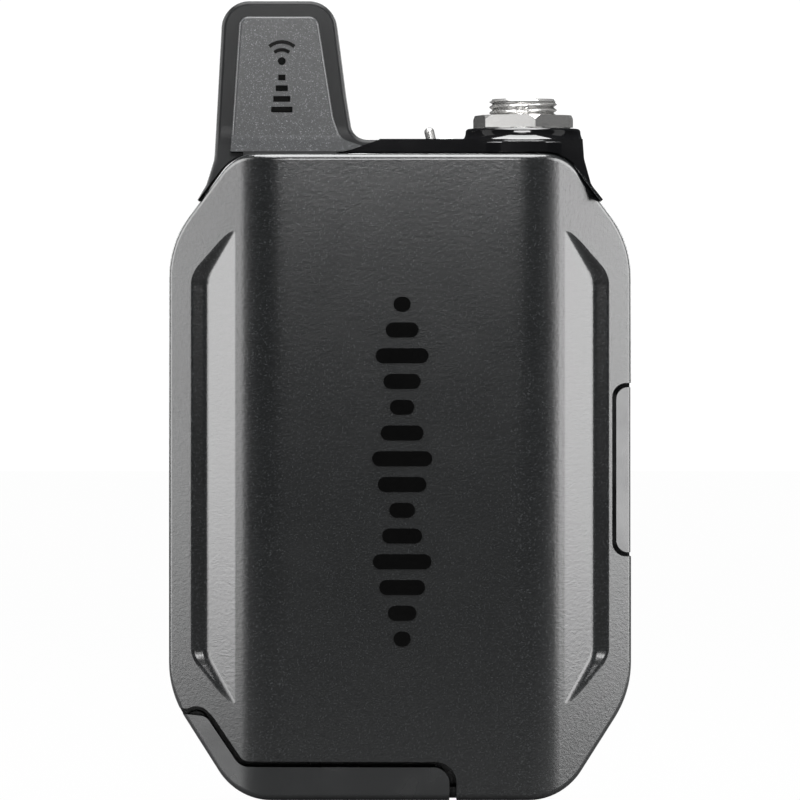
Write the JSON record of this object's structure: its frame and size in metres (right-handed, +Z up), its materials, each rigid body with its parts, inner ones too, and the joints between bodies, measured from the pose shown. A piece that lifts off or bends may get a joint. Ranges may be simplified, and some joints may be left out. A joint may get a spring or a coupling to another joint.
{
  "type": "wireless bodypack transmitter",
  "caption": "Belt-worn audio transmitter: faceted metal case, stub antenna, threaded locking microphone connector, toggle power switch, corner battery door and belt clip.",
  "frame": {"origin": "centre of the flat base of the case", "axes": "+X to the wearer-side port, -Y is the front face, +Z up towards the antenna"},
  "size_m": [0.065, 0.0289, 0.1121],
  "materials": {
    "antenna_panel": "speckled texture",
    "antenna_rim": "satin moulding",
    "battery_wrap": "wrapped cell",
    "bezel_gloss": "semi-gloss moulding",
    "button_rubber": "soft touch",
    "can_steel": "tin plate",
    "cap_gloss": "semi-gloss moulding",
    "case_coat": "fine sandy powder coat",
    "chip_black": "epoxy",
    "circuit_board": "solder mask",
    "clip_steel": "black coated spring steel",
    "contact_gold": "gold plate",
    "door_coat": "smooth satin coat",
    "foam_pad": "closed cell foam",
    "insulator_black": "moulded",
    "label_silver": "satin foil",
    "lamp_white": "lamp body",
    "latch_plastic": "moulded",
    "lead_jacket": "matte",
    "lens_clear": "clear light pipe",
    "mark_dark": "dark print",
    "mark_gloss": "gloss print",
    "nickel": "nickel plate",
    "pin_steel": "ground",
    "port_steel": "drawn shell",
    "screw_steel": "black zinc",
    "seal_rubber": "matte",
    "spring_steel": "drawn wire",
    "switch_metal": "plated frame",
    "tray_plastic": "moulded"
  },
  "bodies": {
    "pack": {"antenna_element": "circuit_board", "antenna_feed": "lead_jacket", "antenna_front_plate": "antenna_panel", "antenna_housing": "antenna_rim", "antenna_rear_plate": "antenna_panel", "battery_pack": "battery_wrap", "battery_terminals": "contact_gold", "battery_tray": "tray_plastic", "board_chips": "chip_black", "board_screws": "screw_steel", "case_screws": "screw_steel", "clip_pin": "pin_steel", "clip_spring": "spring_steel", "connector_barrel": "nickel", "connector_board": "circuit_board", "connector_insulator": "insulator_black", "connector_nut": "nickel", "connector_pins": "contact_gold", "connector_washer": "nickel", "contact_block": "insulator_black", "contact_pins": "contact_gold", "door_hinge_pin": "pin_steel", "front_shell": "case_coat", "io_bezel": "bezel_gloss", "lamp_lens": "lens_clear", "level_mark": "mark_gloss", "link_switch": "switch_metal", "main_board": "circuit_board", "rating_label": "label_silver", "rear_shell": "case_coat", "shell_gasket": "seal_rubber", "shield_can": "can_steel", "status_lamp": "lamp_white", "switch_board": "circuit_board", "switch_body": "insulator_black", "top_cap": "cap_gloss", "usb_port_shell": "port_steel", "usb_port_tongue": "insulator_black", "wave_mark": "mark_dark"},
    "door": {"battery_door": "door_coat", "battery_pad": "foam_pad"},
    "latch": {"door_latch": "latch_plastic"},
    "lever": {"switch_lever": "nickel"},
    "button": {"link_button": "button_rubber"},
    "clip": {"belt_clip": "clip_steel"}
  },
  "joints": [
    {"name": "door_hinge", "type": "hinge", "parent": "pack", "child": "door", "pos_m": [-0.0286, 0, 0.0107], "axis": [0, 1, 0], "range_deg": [0, 90]},
    {"name": "door_latch_slide", "type": "slide", "parent": "door", "child": "latch", "axis": [1, 0, 0], "range_m": [0, 0.003]},
    {"name": "power_toggle", "type": "hinge", "parent": "pack", "child": "lever", "pos_m": [0.0051, 0.0005, 0.0896], "axis": [0, 1, 0], "range_deg": [0, 26]},
    {"name": "link_press", "type": "slide", "parent": "pack", "child": "button", "axis": [-1, 0, 0], "range_m": [0, 0.0004], "stiffness_N_per_m": 800, "springref_m": -0.0003},
    {"name": "clip_hinge", "type": "hinge", "parent": "pack", "child": "clip", "pos_m": [0, 0.0143, 0.074], "axis": [1, 0, 0], "range_deg": [0, 12], "stiffness_Nm_per_rad": 0.8, "springref_deg": -8.59, "deforming": ["clip_spring"]}
  ]
}
